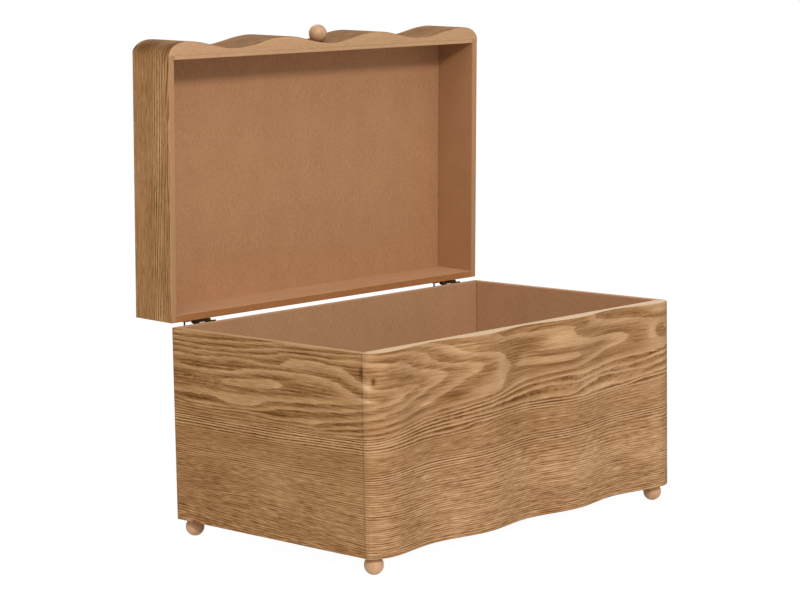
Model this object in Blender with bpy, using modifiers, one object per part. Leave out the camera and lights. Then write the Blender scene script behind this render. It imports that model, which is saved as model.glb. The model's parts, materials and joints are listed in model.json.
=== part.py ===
# Storage chest with a serpentine front, four ball feet and a deep hinged lid.
# Metres, +Z up, front towards -Y. The lid stands open, as the chest is stored.
# The origin is on the floor, in the middle of the box that holds chest and open lid.

import math

import bmesh
import bpy

# Chest
CHEST_WIDTH = 0.760         # across the outer faces of the side boards
CHEST_HEIGHT = 0.328        # underside to rim, feet not counted
BOX_DEPTH = 0.440           # outer face of the back to the inside of the front
SIDE_THICKNESS = 0.012
BACK_THICKNESS = 0.012
BASE_THICKNESS = 0.012
LINER_THICKNESS = 0.007     # straight board behind the serpentine one

# Serpentine front, the same on chest and lid
CREST_THICKNESS = 0.023     # serpentine board, measured at a crest
WAVE_DEPTH = 0.015          # crest to trough
TROUGH_COUNT = 3
CORNER_RUN = 0.0386         # length of the rounded corner along the front
STEPS_PER_WAVE = 24
STEPS_PER_CORNER = 10

# Lid
LID_HEIGHT = 0.092          # rim to top face
LID_PANEL_THICKNESS = 0.006
LID_OPEN_ANGLE = math.radians(88.5)
RIM_GAP = 0.0006            # between the two rims when the lid is closed

# Joints between boards, and the small round on exposed edges
SEAM = 0.0003
ARRIS = 0.0008
ARRIS_SEGMENTS = 2

# Ball feet on studs
FOOT_DIAMETER = 0.032
FOOT_STAND = 0.030          # floor to underside of the chest
FOOT_FLAT = 0.0005          # sanded off under the ball
FOOT_INSET_SIDE = 0.025     # foot centre from the outer face of the side
FOOT_INSET_BACK = 0.016     # foot centre from the outer face of the back
FOOT_INSET_FRONT = 0.030    # foot centre from the line of the crests
STUD_RADIUS = 0.0025
STUD_IN_FOOT = 0.010
STUD_IN_BASE = 0.009

# Knob, screwed on from inside the lid
KNOB_DIAMETER = 0.032
KNOB_SEAT_CUT = 0.002       # cut off the ball where it sits
KNOB_SEAT_GAP = 0.0005
KNOB_ABOVE_RIM = 0.036      # knob centre from the lid's rim
KNOB_SCREW_RADIUS = 0.0019
KNOB_SCREW_HEAD_RADIUS = 0.0038
KNOB_SCREW_HEAD_HEIGHT = 0.0022
KNOB_SCREW_IN_BALL = 0.010
KNOB_SCREW_CLEARANCE = 0.0003

# Hinges: one-handed stop hinges, leaves on the outer back faces
HINGE_AXIS_BEHIND = 0.0032  # pin axis behind the back face
HINGE_AXIS_ABOVE = 0.0032   # pin axis above the chest's rim
HINGE_INSET_LEFT = 0.0305   # left side face to the left hinge's stop ear
HINGE_INSET_RIGHT = 0.0430  # right side face to the right hinge's far end
LEAF_THICKNESS = 0.0016
LEAF_HEIGHT = 0.0195
STOP_EAR_THICKNESS = 0.0015
STOP_EAR_REACH = 0.0062
STOP_EAR_DEPTH = 0.0028
EAR_TO_BARREL = 0.0170
KNUCKLE_LENGTH = 0.0130
KNUCKLE_GAP = 0.0003
KNUCKLE_RADIUS = 0.0027
KNUCKLE_CLEARANCE = 0.0004
FINGER_INSET = 0.0002       # the flat fingers are this much narrower than their knuckles
FINGER_OVERRUN = 0.0005     # and run this far past the axis inside them
CHEST_LEAF_TAIL = 0.0110    # chest leaf beyond the barrel
CHEST_LEAF_TAIL_RISE = 0.0020
PIN_RADIUS = 0.00125
PIN_CLEARANCE = 0.0002
PIN_HEAD_RADIUS = 0.0020
PIN_HEAD_LENGTH = 0.0010

# Countersunk screws in the hinge leaves
SCREWS_PER_LEAF = 3
SCREW_EDGE_MARGIN = 0.0085  # first and last screw from the leaf's ends
SCREW_FROM_LEAF_EDGE = 0.0075
SCREW_RADIUS = 0.0014
SCREW_HEAD_RADIUS = 0.0027
SCREW_HEAD_HEIGHT = 0.0012
SCREW_LENGTH = 0.0100
SCREW_CLEARANCE = 0.0002

# Facets of the round pieces
BALL_STEPS = 32
BALL_RINGS = 16
ROD_STEPS = 16

# Places worked out from the sizes above, in a frame whose zero is the chest's back face
half_width = CHEST_WIDTH / 2
underside_z = FOOT_STAND
rim_z = underside_z + CHEST_HEIGHT
joint_depth = BOX_DEPTH + LINER_THICKNESS
crest_depth = joint_depth + CREST_THICKNESS
wave_length = (CHEST_WIDTH - 2 * CORNER_RUN) / TROUGH_COUNT
inner_half_width = half_width - SIDE_THICKNESS - SEAM
hinge_z = rim_z + HINGE_AXIS_ABOVE
lid_rim = RIM_GAP - HINGE_AXIS_ABOVE            # closed lid's rim, from the hinge axis
lid_top = lid_rim + LID_HEIGHT
lid_frame_top = lid_top - LID_PANEL_THICKNESS - SEAM
rest_back = (HINGE_AXIS_BEHIND + lid_top * math.sin(LID_OPEN_ANGLE)
             - HINGE_AXIS_BEHIND * math.cos(LID_OPEN_ANGLE))
back_y = (crest_depth - rest_back) / 2          # centres chest and open lid on the origin
barrel_length = 3 * KNUCKLE_LENGTH + 2 * KNUCKLE_GAP
lid_leaf_length = STOP_EAR_THICKNESS + EAR_TO_BARREL + barrel_length
hinge_length = lid_leaf_length + CHEST_LEAF_TAIL
leaf_front = SEAM - HINGE_AXIS_BEHIND           # face of a leaf on the wood, from the axis
leaf_back = leaf_front + LEAF_THICKNESS
foot_x = half_width - FOOT_INSET_SIDE
foot_back_y = back_y - FOOT_INSET_BACK
foot_front_y = back_y - crest_depth + FOOT_INSET_FRONT

# Colours
VENEER = (0.42, 0.25, 0.12)
BARE_BOARD = (0.34, 0.19, 0.09)
BEECH = (0.64, 0.36, 0.18)
DARK_BRASS = (0.16, 0.09, 0.03)
DARK_STEEL = (0.05, 0.04, 0.035)


def new_collection(name):
    collection = bpy.data.collections.new(name)
    bpy.context.scene.collection.children.link(collection)
    return collection


def clear_scene():
    for old in list(bpy.data.objects):
        bpy.data.objects.remove(old, do_unlink=True)


clear_scene()
pieces = new_collection("storage_chest")
cutters = new_collection("cutters")


def paint(piece, colour, roughness, metallic):
    material = bpy.data.materials.new(piece.name)
    material.use_nodes = True
    shader = material.node_tree.nodes["Principled BSDF"]
    shader.inputs["Base Color"].default_value = (*colour, 1.0)
    shader.inputs["Roughness"].default_value = roughness
    shader.inputs["Metallic"].default_value = metallic
    piece.data.materials.clear()
    piece.data.materials.append(material)


def wood(piece, colour):
    paint(piece, colour, 0.55, 0.0)


def metal(piece, colour):
    paint(piece, colour, 0.4, 1.0)


def put(mesh_or_curve, name, location, parent, collection):
    placed = bpy.data.objects.new(name, mesh_or_curve)
    placed.location = location
    placed.parent = parent
    collection.objects.link(placed)
    if collection == cutters:
        placed.hide_render = True
        placed.display_type = "WIRE"
    return placed


def block(name, low, high, parent=None, collection=pieces):
    """Box between two corners, with its origin in its middle."""
    bm = bmesh.new()
    bmesh.ops.create_cube(bm, size=1.0)
    bmesh.ops.scale(bm, vec=[h - l for l, h in zip(low, high)], verts=bm.verts)
    mesh = bpy.data.meshes.new(name)
    bm.to_mesh(mesh)
    bm.free()
    middle = [(l + h) / 2 for l, h in zip(low, high)]
    return put(mesh, name, middle, parent, collection)


def rod(name, radius, start_x, end_x, parent=None, collection=pieces, centre=(0, 0)):
    """Cylinder along X about a line at centre, which is (y, z)."""
    bm = bmesh.new()
    bmesh.ops.create_cone(bm, cap_ends=True, segments=ROD_STEPS, radius1=radius,
                          radius2=radius, depth=end_x - start_x)
    for vert in bm.verts:
        vert.co = vert.co.zxy
    mesh = bpy.data.meshes.new(name)
    bm.to_mesh(mesh)
    bm.free()
    return put(mesh, name, ((start_x + end_x) / 2, *centre), parent, collection)


def slab(name, outline, thickness, location, parent=None, stand=False):
    """Flat outline given a thickness, which lies half on each side of its plane.

    The outline is drawn in X and Y, or with stand in X and Z.
    """
    curve = bpy.data.curves.new(name, "CURVE")
    curve.dimensions = "2D"
    curve.fill_mode = "NONE"
    curve.extrude = thickness / 2
    spline = curve.splines.new("POLY")
    spline.points.add(len(outline) - 1)
    for point, (x, y) in zip(spline.points, outline):
        point.co = (x, y, 0, 1)
    spline.use_cyclic_u = True
    drawn = put(curve, name + "_outline", (0, 0, 0), None, cutters)
    bpy.context.view_layer.update()
    mesh = bpy.data.meshes.new_from_object(
        drawn.evaluated_get(bpy.context.evaluated_depsgraph_get()))
    bpy.data.objects.remove(drawn)
    bm = bmesh.new()
    bm.from_mesh(mesh)
    bmesh.ops.remove_doubles(bm, verts=bm.verts, dist=1e-6)
    bmesh.ops.holes_fill(bm, edges=bm.edges, sides=0)
    bmesh.ops.recalc_face_normals(bm, faces=bm.faces)
    if stand:
        for vert in bm.verts:
            vert.co = (vert.co.x, -vert.co.z, vert.co.y)
    bm.to_mesh(mesh)
    bm.free()
    mesh.name = name
    return put(mesh, name, location, parent, pieces)


def turned(name, profile, steps, location, axis="Z", parent=None, collection=pieces):
    """Profile of (radius, height) points, top to bottom, turned about its own X, Y or Z axis."""
    places = {"X": lambda r, h: (h, r, 0), "Y": lambda r, h: (r, h, 0),
              "Z": lambda r, h: (r, 0, h)}
    mesh = bpy.data.meshes.new(name)
    edges = [(i, i + 1) for i in range(len(profile) - 1)]
    mesh.from_pydata([places[axis](r, h) for r, h in profile], edges, [])
    placed = put(mesh, name, location, parent, collection)
    screw = placed.modifiers.new("turn", "SCREW")
    screw.axis = axis
    screw.steps = steps
    screw.render_steps = steps
    screw.use_merge_vertices = True
    screw.merge_threshold = 1e-6
    screw.use_smooth_shade = True
    return placed


def boolean(piece, other, operation):
    step = piece.modifiers.new(other.name, "BOOLEAN")
    step.operation = operation
    step.solver = "EXACT"
    step.object = other


def soften(piece, wanted):
    """Round the edges whose middle point is wanted, all in the piece's own frame."""
    bm = bmesh.new()
    bm.from_mesh(piece.data)
    chosen = [e for e in bm.edges
              if wanted((e.verts[0].co + e.verts[1].co) / 2) and e.calc_face_angle(0) > 0.7]
    bmesh.ops.bevel(bm, geom=chosen, offset=ARRIS, segments=ARRIS_SEGMENTS, profile=0.5,
                    affect="EDGES", clamp_overlap=True)
    bm.to_mesh(piece.data)
    bm.free()


def smooth(piece):
    piece.data.shade_smooth()
    piece.data.set_sharp_from_angle(angle=math.radians(35))


def serpentine_depth(x):
    """Depth of the serpentine face at x, from the back face: troughs at 0 and each wave."""
    phase = 2 * math.pi * x / wave_length + math.pi * (TROUGH_COUNT - 1)
    return crest_depth - WAVE_DEPTH / 2 * (1 + math.cos(phase))


def serpentine_outline():
    """Face line from the left joint with the side board to the right one, as (x, y)."""
    reach = CREST_THICKNESS
    last_crest = half_width - CORNER_RUN
    corner = []
    for i in range(STEPS_PER_CORNER):
        turn = math.pi / 2 * i / STEPS_PER_CORNER
        corner.append((last_crest + CORNER_RUN * math.cos(turn),
                       -(joint_depth + reach * math.sin(turn))))
    steps = STEPS_PER_WAVE * TROUGH_COUNT
    wave = []
    for i in range(steps + 1):
        x = -last_crest + 2 * last_crest * i / steps
        wave.append((x, -serpentine_depth(x)))
    left = [(-x, y) for x, y in corner]
    return left + wave + corner[::-1]


def near(a, b):
    return abs(a - b) < 1e-5


def serpentine_board(name, low_z, high_z, origin_y, parent):
    """Serpentine board between two heights; origin_y is the back face in its parent's frame."""
    height = high_z - low_z
    board = slab(name, serpentine_outline(), height,
                 (0, origin_y, (low_z + high_z) / 2), parent)
    soften(board, lambda m: near(abs(m.z), height / 2) and m.y < -joint_depth - 1e-5)
    smooth(board)
    wood(board, VENEER)
    return board


def rim_board(name, low, high, parent, rim_side, outer_faces, colour=VENEER):
    """Board whose rim edges are rounded, and the edges between its outer faces.

    rim_side is 1 or -1, for a rim on top or below. outer_faces are (axis, side) pairs.
    """
    board = block(name, low, high, parent)
    half = [(h - l) / 2 for l, h in zip(low, high)]

    def exposed(m):
        on_rim = near(m.z, rim_side * half[2])
        on_outer = [near(m[axis], side * half[axis]) for axis, side in outer_faces]
        long_edge = near(m.y, 0) if half[1] > half[0] else near(m.x, 0)
        return (on_rim and long_edge) or sum(on_outer) > 1

    soften(board, exposed)
    wood(board, colour)
    return board


def chest_boards():
    front_y = back_y - joint_depth
    for name, side in (("chest_side_left", -1), ("chest_side_right", 1)):
        outer = side * half_width
        inner = side * (half_width - SIDE_THICKNESS)
        rim_board(name, (min(outer, inner), front_y + SEAM, underside_z),
                  (max(outer, inner), back_y, rim_z), None, 1,
                  [(0, side), (1, 1), (2, -1)])
    rim_board("chest_back_board", (-inner_half_width, back_y - BACK_THICKNESS, underside_z),
              (inner_half_width, back_y, rim_z), None, 1, [(1, 1), (2, -1)], BARE_BOARD)
    base_top = underside_z + BASE_THICKNESS
    base = block("chest_base_panel", (-inner_half_width, front_y + SEAM, underside_z),
                 (inner_half_width, back_y - BACK_THICKNESS - SEAM, base_top))
    wood(base, BARE_BOARD)
    rim_board("chest_front_liner", (-inner_half_width, front_y + SEAM, base_top + SEAM),
              (inner_half_width, front_y + LINER_THICKNESS, rim_z), None, 1, [], BARE_BOARD)
    serpentine_board("chest_serpentine_front", underside_z, rim_z, back_y, None)
    return base


def foot(name, x, y, base):
    """Ball foot, drilled from its flat top, and the stud that holds it in the base panel."""
    radius = FOOT_DIAMETER / 2
    centre_z = radius - FOOT_FLAT
    top_z = FOOT_STAND - SEAM
    hole = STUD_RADIUS + SEAM
    hole_bottom = FOOT_STAND - STUD_IN_FOOT - SEAM
    first = math.acos((top_z - centre_z) / radius)
    last = math.acos(-centre_z / radius)
    profile = [(0, hole_bottom), (hole, hole_bottom), (hole, top_z)]
    for i in range(BALL_RINGS + 1):
        turn = first + (last - first) * i / BALL_RINGS
        profile.append((radius * math.sin(turn), centre_z + radius * math.cos(turn)))
    profile.append((0, 0))
    ball = turned(name, profile, BALL_STEPS, (x, y, 0))
    wood(ball, BEECH)

    low = FOOT_STAND - STUD_IN_FOOT
    high = FOOT_STAND + STUD_IN_BASE
    stud = turned(name + "_stud", [(0, high), (STUD_RADIUS, high), (STUD_RADIUS, low), (0, low)],
                  ROD_STEPS, (x, y, 0))
    metal(stud, DARK_STEEL)
    drill_top = high + SEAM
    drill = turned(name + "_drill", [(0, drill_top), (hole, drill_top), (hole, low), (0, low)],
                   ROD_STEPS, (x, y, 0), collection=cutters)
    boolean(base, drill, "DIFFERENCE")


def screw_profile(radius, head_radius, head_height, length, grow):
    """Countersunk screw, head up at height 0; grow makes the hole that clears it."""
    top = grow
    return [(0, top), (head_radius + grow, top), (head_radius + grow, 0),
            (radius + grow, -head_height), (radius + grow, -length - grow), (0, -length - grow)]


def lid_axis_empty():
    """Empty on the hinge axis that carries the lid, closed until every piece is cut."""
    hinge = bpy.data.objects.new("lid_hinge_axis", None)
    hinge.location = (0, back_y + HINGE_AXIS_BEHIND, hinge_z)
    pieces.objects.link(hinge)
    return hinge


def finish_cuts():
    """Make the cuts and unions part of each mesh, while all pieces are still square."""
    bpy.context.view_layer.update()
    depsgraph = bpy.context.evaluated_depsgraph_get()
    cut = [p for p in pieces.objects if any(m.type == "BOOLEAN" for m in p.modifiers)]
    finished = [bpy.data.meshes.new_from_object(p.evaluated_get(depsgraph)) for p in cut]
    for piece, mesh in zip(cut, finished):
        piece.modifiers.clear()
        piece.data = mesh


def lid_boards(hinge):
    """Boards of the lid as if closed, measured from the hinge axis."""
    back = -HINGE_AXIS_BEHIND
    front = back - joint_depth
    for name, side in (("lid_side_left", -1), ("lid_side_right", 1)):
        outer = side * half_width
        inner = side * (half_width - SIDE_THICKNESS)
        rim_board(name, (min(outer, inner), front + SEAM, lid_rim),
                  (max(outer, inner), back, lid_frame_top), hinge, -1, [(0, side), (1, 1)])
    rim_board("lid_back_rail", (-inner_half_width, back - BACK_THICKNESS, lid_rim),
              (inner_half_width, back, lid_frame_top), hinge, -1, [(1, 1)])
    liner = rim_board("lid_front_liner", (-inner_half_width, front + SEAM, lid_rim),
                      (inner_half_width, front + LINER_THICKNESS, lid_frame_top),
                      hinge, -1, [], BARE_BOARD)
    face = serpentine_board("lid_serpentine_front", lid_rim, lid_frame_top, back, hinge)

    outline = [(-half_width, 0)] + serpentine_outline() + [(half_width, 0)]
    panel = slab("lid_top_panel", outline, LID_PANEL_THICKNESS,
                 (0, back, lid_top - LID_PANEL_THICKNESS / 2), hinge)
    soften(panel, lambda m: near(m.z, LID_PANEL_THICKNESS / 2))
    smooth(panel)
    wood(panel, VENEER)
    return liner, face


def knob(hinge, liner, face):
    """Ball knob in the middle trough and its countersunk screw, both along Y."""
    radius = KNOB_DIAMETER / 2
    seat = radius - KNOB_SEAT_CUT
    trough_y = -HINGE_AXIS_BEHIND - serpentine_depth(0)
    centre_y = trough_y - KNOB_SEAT_GAP - seat
    height = lid_rim + KNOB_ABOVE_RIM
    hole = KNOB_SCREW_RADIUS + KNOB_SCREW_CLEARANCE
    hole_end = seat - KNOB_SCREW_IN_BALL - KNOB_SCREW_CLEARANCE
    first = math.acos(seat / radius)
    profile = [(0, hole_end), (hole, hole_end), (hole, seat)]
    for i in range(BALL_RINGS):
        turn = first + (math.pi - first) * i / BALL_RINGS
        profile.append((radius * math.sin(turn), radius * math.cos(turn)))
    profile.append((0, -radius))
    ball = turned("lid_knob", profile, BALL_STEPS, (0, centre_y, height), "Y", hinge)
    wood(ball, BEECH)

    head_y = -HINGE_AXIS_BEHIND - BOX_DEPTH
    length = head_y - (trough_y - KNOB_SEAT_GAP - KNOB_SCREW_IN_BALL)
    shape = (KNOB_SCREW_RADIUS, KNOB_SCREW_HEAD_RADIUS, KNOB_SCREW_HEAD_HEIGHT, length)
    screw = turned("knob_screw", screw_profile(*shape, 0), ROD_STEPS, (0, head_y, height),
                   "Y", hinge)
    metal(screw, DARK_STEEL)
    drill = turned("knob_drill", screw_profile(*shape, KNOB_SCREW_CLEARANCE), ROD_STEPS,
                   (0, head_y, height), "Y", hinge, cutters)
    boolean(liner, drill, "DIFFERENCE")
    boolean(face, drill, "DIFFERENCE")


def leaf_screws(name, start_x, length, location_z, parent, leaf, board, origin_y):
    """Row of screws through a leaf into its board, heads flush with the leaf's outer face."""
    shape = (SCREW_RADIUS, SCREW_HEAD_RADIUS, SCREW_HEAD_HEIGHT, SCREW_LENGTH)
    first = start_x + SCREW_EDGE_MARGIN
    pitch = (length - 2 * SCREW_EDGE_MARGIN) / (SCREWS_PER_LEAF - 1)
    for i in range(SCREWS_PER_LEAF):
        place = (first + pitch * i, origin_y + leaf_back, location_z)
        screw = turned(f"{name}_screw_{i + 1}", screw_profile(*shape, 0), ROD_STEPS, place,
                       "Y", parent)
        metal(screw, DARK_BRASS)
        drill = turned(f"{name}_drill_{i + 1}", screw_profile(*shape, SCREW_CLEARANCE),
                       ROD_STEPS, place, "Y", parent, cutters)
        boolean(leaf, drill, "DIFFERENCE")
        boolean(board, drill, "DIFFERENCE")


def hinge_parts(side, start_x, hinge, chest_back, lid_rail):
    """One hinge from its stop ear at start_x: chest leaf, lid leaf, pin and screws."""
    axis_y = back_y + HINGE_AXIS_BEHIND
    middle = (leaf_front + leaf_back) / 2
    barrel = start_x + STOP_EAR_THICKNESS + EAR_TO_BARREL
    step = KNUCKLE_LENGTH + KNUCKLE_GAP
    knuckles = [(barrel + i * step, barrel + i * step + KNUCKLE_LENGTH) for i in range(3)]
    barrel_end = barrel + barrel_length
    notch = KNUCKLE_RADIUS + KNUCKLE_CLEARANCE
    overrun = FINGER_OVERRUN

    # Chest leaf: knuckles one and three, low where the lid's knuckle and stop ear pass.
    low = -HINGE_AXIS_ABOVE - LEAF_HEIGHT
    ear_low = -HINGE_AXIS_ABOVE - KNUCKLE_CLEARANCE
    tail = CHEST_LEAF_TAIL_RISE - HINGE_AXIS_ABOVE
    fingers = [(a + FINGER_INSET, b - FINGER_INSET) for a, b in knuckles]
    outline = [(start_x, low), (start_x + hinge_length, low), (start_x + hinge_length, tail),
               (fingers[2][1], tail), (fingers[2][1], overrun), (fingers[2][0], overrun),
               (fingers[2][0], -notch), (fingers[0][1], -notch), (fingers[0][1], overrun),
               (fingers[0][0], overrun), (fingers[0][0], ear_low), (start_x, ear_low)]
    chest_leaf = slab(f"hinge_{side}_chest_leaf", outline, LEAF_THICKNESS,
                      (0, axis_y + middle, hinge_z), None, True)
    bore_radius = PIN_RADIUS + PIN_CLEARANCE
    for i in (0, 2):
        knuckle = rod(f"hinge_{side}_knuckle_{i}", KNUCKLE_RADIUS, *knuckles[i], None, cutters,
                      (axis_y, hinge_z))
        boolean(chest_leaf, knuckle, "UNION")
    bore = rod(f"hinge_{side}_chest_bore", bore_radius, barrel - SEAM, barrel_end + SEAM, None,
               cutters, (axis_y, hinge_z))
    boolean(chest_leaf, bore, "DIFFERENCE")
    metal(chest_leaf, DARK_BRASS)

    # Lid leaf: the middle knuckle, and a stop ear that meets the chest leaf when open.
    end = start_x + lid_leaf_length
    plate_start = start_x + FINGER_INSET
    before_pin = barrel - KNUCKLE_GAP - PIN_HEAD_LENGTH - SEAM
    outline = [(plate_start, 0), (before_pin, 0), (before_pin, notch),
               (fingers[1][0], notch), (fingers[1][0], -overrun), (fingers[1][1], -overrun),
               (fingers[1][1], notch), (end, notch), (end, LEAF_HEIGHT),
               (plate_start, LEAF_HEIGHT)]
    lid_leaf = slab(f"hinge_{side}_lid_leaf", outline, LEAF_THICKNESS, (0, middle, 0), hinge,
                    True)
    knuckle = rod(f"hinge_{side}_knuckle_1", KNUCKLE_RADIUS, *knuckles[1], hinge, cutters)
    boolean(lid_leaf, knuckle, "UNION")
    ear_edge = (leaf_back + SEAM) / math.sin(LID_OPEN_ANGLE)
    ear = block(f"hinge_{side}_stop_ear", (start_x, leaf_front + SEAM, ear_edge),
                (start_x + STOP_EAR_THICKNESS, STOP_EAR_REACH, ear_edge + STOP_EAR_DEPTH),
                hinge, cutters)
    boolean(lid_leaf, ear, "UNION")
    bore = rod(f"hinge_{side}_lid_bore", bore_radius, barrel - SEAM, barrel_end + SEAM, hinge,
               cutters)
    boolean(lid_leaf, bore, "DIFFERENCE")
    metal(lid_leaf, DARK_BRASS)

    # Pin with a small round head, its shank along the whole barrel.
    half = (barrel_length + KNUCKLE_GAP) / 2
    head = -half - PIN_HEAD_LENGTH
    profile = [(0, half), (PIN_RADIUS, half), (PIN_RADIUS, -half), (PIN_HEAD_RADIUS, -half),
               (PIN_HEAD_RADIUS, head), (0, head)]
    pin = turned(f"hinge_{side}_pin", profile, ROD_STEPS,
                 (barrel + half - KNUCKLE_GAP, axis_y, hinge_z), "X")
    metal(pin, DARK_STEEL)

    chest_screw_z = hinge_z + low + SCREW_FROM_LEAF_EDGE
    leaf_screws(f"hinge_{side}_chest", start_x, hinge_length, chest_screw_z, None, chest_leaf,
                chest_back, axis_y)
    lid_screw_z = LEAF_HEIGHT - SCREW_FROM_LEAF_EDGE
    leaf_screws(f"hinge_{side}_lid", start_x, lid_leaf_length, lid_screw_z, hinge, lid_leaf,
                lid_rail, 0)


def build():
    base = chest_boards()
    places = (("front_left", -foot_x, foot_front_y), ("front_right", foot_x, foot_front_y),
              ("back_left", -foot_x, foot_back_y), ("back_right", foot_x, foot_back_y))
    for name, x, y in places:
        foot("foot_" + name, x, y, base)
    hinge = lid_axis_empty()
    liner, face = lid_boards(hinge)
    knob(hinge, liner, face)
    chest_back = bpy.data.objects["chest_back_board"]
    lid_rail = bpy.data.objects["lid_back_rail"]
    left_start = -half_width + HINGE_INSET_LEFT
    right_start = half_width - HINGE_INSET_RIGHT - hinge_length
    hinge_parts("left", left_start, hinge, chest_back, lid_rail)
    hinge_parts("right", right_start, hinge, chest_back, lid_rail)
    finish_cuts()
    hinge.rotation_euler = (-LID_OPEN_ANGLE, 0, 0)
    bpy.context.view_layer.update()


build()
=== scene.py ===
# Storage chest with a serpentine veneered front: fine surfaces, wood and metal finishes,
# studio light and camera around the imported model. Metres, +Z up, front towards -Y.

import json
import math

import bmesh
import bpy
import numpy as np
from mathutils import Matrix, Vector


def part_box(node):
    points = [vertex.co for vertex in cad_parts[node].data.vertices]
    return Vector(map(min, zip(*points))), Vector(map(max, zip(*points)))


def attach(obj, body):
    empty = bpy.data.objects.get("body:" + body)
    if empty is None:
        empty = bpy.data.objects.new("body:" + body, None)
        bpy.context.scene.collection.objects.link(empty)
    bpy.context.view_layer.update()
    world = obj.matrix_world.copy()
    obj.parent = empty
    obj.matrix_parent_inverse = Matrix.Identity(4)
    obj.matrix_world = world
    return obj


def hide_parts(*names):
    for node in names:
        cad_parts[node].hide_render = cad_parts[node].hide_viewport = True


print("loading the frame")
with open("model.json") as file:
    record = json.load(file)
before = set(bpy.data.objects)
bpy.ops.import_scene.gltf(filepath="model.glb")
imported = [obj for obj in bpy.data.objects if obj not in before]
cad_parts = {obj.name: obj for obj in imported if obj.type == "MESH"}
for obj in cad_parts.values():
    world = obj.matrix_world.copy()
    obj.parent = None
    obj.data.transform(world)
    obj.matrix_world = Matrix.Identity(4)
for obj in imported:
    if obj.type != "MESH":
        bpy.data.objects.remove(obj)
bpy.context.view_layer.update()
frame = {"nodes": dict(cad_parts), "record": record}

scene = bpy.context.scene
scene.view_settings.view_transform = "Standard"

chest = {
    "halfWidth": 0.380,
    "backY": 0.188757,       # outer face of the back
    "jointDepth": 0.447,     # back face to the joint of side board and front board
    "underside": 0.030,
    "rim": 0.358,
    "sideThickness": 0.012,
    "seam": 0.0003,          # gap that the solids leave between two boards
    "joint": 0.00005,        # the same joint here, glued tight
    "jointRound": 0.0001,    # radius of the edges that meet in it
    "step": 0.003,           # grid of the fine surfaces
}

wave = {
    "crest": 0.023,          # thickness of the front board at a crest
    "depth": 0.015,          # from crest to trough
    "troughs": 3,
    "cornerRun": 0.0386,     # width of the elliptical corner at each end
    "arris": 0.0008,         # radius of the rounded edges
    "arrisSteps": 3,
    "arrisRoom": 3,          # a full arris needs this many times its size of board
    "cornerPoints": 400,     # points of the front line before it is spaced evenly
    "wavePoints": 4001,
}

lid = {
    "axisY": 0.191957,       # the hinge axis
    "axisZ": 0.3612,
    "openAngle": 88.5,
    "behind": 0.0032,        # hinge axis behind the back face
    "rim": -0.0026,          # rim of the closed lid from the hinge axis
    "top": 0.0894,
    "panel": 0.006,          # thickness of the top panel
    "panelStep": 0.004,
}

# Points closer than merge are one point, and an edge that turns less than the angle is smooth
meshing = {"merge": 1e-6, "boardAngle": 35, "turnedAngle": 50}

# What every point of a piece carries for the veneer's finish
fieldNames = ("ring", "width", "crisp", "toneAndShade", "fine", "side")
crispAt, toneAndShadeAt = fieldNames.index("crisp"), fieldNames.index("toneAndShade")


# Grids of points made one mesh: every cell is a quad, a closed grid's last column meets its
# first, and doubles at seams and poles are merged.
def pieceFromGrids(name, grids, materials, body, replaced,
                   smoothAngle=meshing["boardAngle"]):
    points, faces, slots, coords, fields = [], [], [], [], []
    start = 0
    for grid in grids:
        place = grid["points"]
        rows, columns = place.shape[:2]
        index = np.arange(rows * columns).reshape(rows, columns) + start
        if grid.get("closed"):
            index = np.concatenate([index, index[:, :1]], axis=1)
        quads = np.stack([index[:-1, :-1], index[1:, :-1], index[1:, 1:], index[:-1, 1:]], -1)
        finish = np.broadcast_to(grid.get("slot", 0), quads.shape[:2])
        points.append(place.reshape(-1, 3))
        faces.append(quads.reshape(-1, 4))
        slots.append(finish.reshape(-1))
        coords.append(np.broadcast_to(grid["uv"], (rows, columns, 2)).reshape(-1, 2))
        fields.append(np.broadcast_to(grid["fields"], (rows, columns, len(fieldNames)))
                      .reshape(-1, len(fieldNames)))
        start += rows * columns
    points, faces, slots = np.concatenate(points), np.concatenate(faces), np.concatenate(slots)
    coords, fields = np.concatenate(coords), np.concatenate(fields)
    mesh = bpy.data.meshes.new(name)
    mesh.from_pydata(points, [], faces)
    mesh.polygons.foreach_set("material_index", slots.astype(np.int32))
    layer = mesh.uv_layers.new(name="grain")
    layer.data.foreach_set("uv", coords[faces.reshape(-1)].astype(np.float32).reshape(-1))
    for i, field in enumerate(fieldNames):
        attribute = mesh.attributes.new(field, "FLOAT", "POINT")
        attribute.data.foreach_set("value", fields[:, i].astype(np.float32))
    bm = bmesh.new()
    bm.from_mesh(mesh)
    bmesh.ops.remove_doubles(bm, verts=bm.verts, dist=meshing["merge"])
    bmesh.ops.recalc_face_normals(bm, faces=bm.faces)
    bm.to_mesh(mesh)
    bm.free()
    for material in materials:
        mesh.materials.append(material)
    mesh.shade_smooth()
    mesh.set_sharp_from_angle(angle=math.radians(smoothAngle))
    piece = bpy.data.objects.new(name, mesh)
    scene.collection.objects.link(piece)
    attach(piece, body)
    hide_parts(*replaced)


# Makes one node, sets its options, and links or sets each input by name or number
def node(tree, kind, inputs=None, **options):
    made = tree.nodes.new(kind)
    for key, value in options.items():
        setattr(made, key, value)
    for key, value in (inputs or {}).items():
        if isinstance(value, bpy.types.NodeSocket):
            tree.links.new(value, made.inputs[key])
        else:
            made.inputs[key].default_value = value
    return made


# Result of one operation on up to three values, each a socket or a number
def maths(tree, operation, a, b=0.0, c=0.0):
    return node(tree, "ShaderNodeMath", {0: a, 1: b, 2: c}, operation=operation).outputs[0]


# Noise between 0 and 1, with so many spots to a metre on each axis
def noise(tree, vector, perMetre, detail, offset=(0, 0, 0)):
    moved = node(tree, "ShaderNodeMapping", {"Vector": vector, "Scale": perMetre,
                                             "Location": offset}).outputs[0]
    return node(tree, "ShaderNodeTexNoise", {"Vector": moved, "Scale": 1.0,
                                             "Detail": detail}).outputs["Fac"]


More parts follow.
